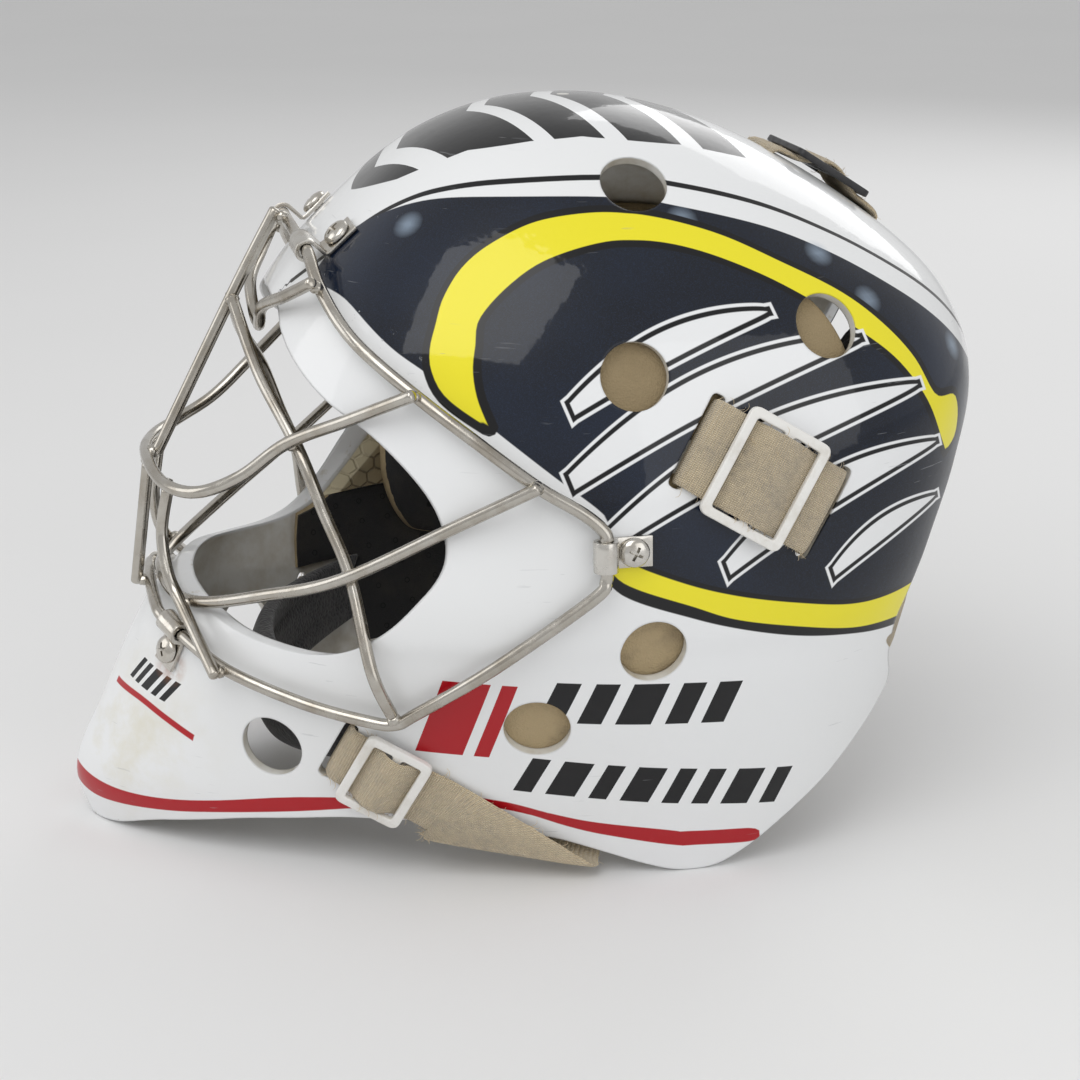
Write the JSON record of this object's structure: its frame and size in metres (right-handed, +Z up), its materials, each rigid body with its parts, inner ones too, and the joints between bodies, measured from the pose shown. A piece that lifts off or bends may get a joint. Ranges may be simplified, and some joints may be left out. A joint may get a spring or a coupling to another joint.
{
  "type": "goaltender mask",
  "caption": "Full-face hockey goaltender mask: moulded shell with vents, welded wire face cage on clips, foam liner, elastic strap harness and rear plate.",
  "frame": {"origin": "on the floor, centred between the chin tip and the rear edge, on the plane of symmetry", "axes": "+Z up, -Y the way the wearer faces, +X the wearer's left"},
  "size_m": [0.2406, 0.3152, 0.252],
  "materials": {
    "painted_shell": "gloss",
    "polished_steel": "polished",
    "liner_foam": "matte",
    "chin_fabric": "matte",
    "strap_elastic": "matte",
    "slider_plastic": "satin",
    "backplate_plastic": "satin"
  },
  "bodies": {
    "mask": {"cage_brow_bar": "polished_steel", "cage_centre_bar": "polished_steel", "cage_chin_bar_l": "polished_steel", "cage_chin_bar_middle": "polished_steel", "cage_chin_bar_r": "polished_steel", "cage_eye_bar": "polished_steel", "cage_frame": "polished_steel", "cage_mouth_bar": "polished_steel", "cage_side_bar_l": "polished_steel", "cage_side_bar_r": "polished_steel", "chin_sling": "chin_fabric", "clip_chin_l": "polished_steel", "clip_chin_r": "polished_steel", "clip_side_l": "polished_steel", "clip_side_r": "polished_steel", "clip_top_l": "polished_steel", "clip_top_r": "polished_steel", "crown_pad": "liner_foam", "crown_strap": "strap_elastic", "forehead_pad": "liner_foam", "jaw_pad_l": "liner_foam", "jaw_pad_r": "liner_foam", "lower_strap_l": "strap_elastic", "lower_strap_r": "strap_elastic", "screw_chin_l": "polished_steel", "screw_chin_r": "polished_steel", "screw_side_l": "polished_steel", "screw_side_r": "polished_steel", "screw_top_l": "polished_steel", "screw_top_r": "polished_steel", "shell": "painted_shell", "side_strap_l": "strap_elastic", "side_strap_r": "strap_elastic", "sweatband": "chin_fabric", "tee_nut_chin_l": "polished_steel", "tee_nut_chin_r": "polished_steel", "tee_nut_side_l": "polished_steel", "tee_nut_side_r": "polished_steel", "tee_nut_top_l": "polished_steel", "tee_nut_top_r": "polished_steel", "temple_pad_l": "liner_foam", "temple_pad_r": "liner_foam"},
    "rear_plate": {"backplate": "backplate_plastic", "backplate_pad": "liner_foam"},
    "crown_slider": {"crown_slider": "backplate_plastic"},
    "side_slider_l": {"side_slider_l": "slider_plastic"},
    "side_slider_r": {"side_slider_r": "slider_plastic"},
    "lower_slider_l": {"lower_slider_l": "slider_plastic"},
    "lower_slider_r": {"lower_slider_r": "slider_plastic"}
  },
  "joints": [
    {"name": "rear_plate_swing", "type": "hinge", "parent": "mask", "child": "rear_plate", "pos_m": [0, 0.15391, 0.16961], "axis": [1, 0, 0], "range_deg": [0, 20], "stiffness_Nm_per_rad": 0.4, "deforming": ["crown_strap", "side_strap_l", "side_strap_r"]},
    {"name": "crown_slider_slide", "type": "slide", "parent": "mask", "child": "crown_slider", "axis": [0, 0.845, -0.5348], "range_m": [-0.003, 0.003], "deforming": ["crown_strap"]},
    {"name": "side_slider_l_slide", "type": "slide", "parent": "mask", "child": "side_slider_l", "axis": [0.0144, 0.8523, -0.5228], "range_m": [-0.003, 0.003], "deforming": ["side_strap_l"]},
    {"name": "lower_slider_l_slide", "type": "slide", "parent": "mask", "child": "lower_slider_l", "axis": [0.2435, 0.8453, -0.4756], "range_m": [-0.003, 0.003], "deforming": ["lower_strap_l"]},
    {"name": "side_slider_r_slide", "type": "slide", "parent": "mask", "child": "side_slider_r", "axis": [-0.0144, 0.8523, -0.5228], "range_m": [-0.003, 0.003], "deforming": ["side_strap_r"]},
    {"name": "lower_slider_r_slide", "type": "slide", "parent": "mask", "child": "lower_slider_r", "axis": [-0.2435, 0.8453, -0.4756], "range_m": [-0.003, 0.003], "deforming": ["lower_strap_r"]}
  ]
}
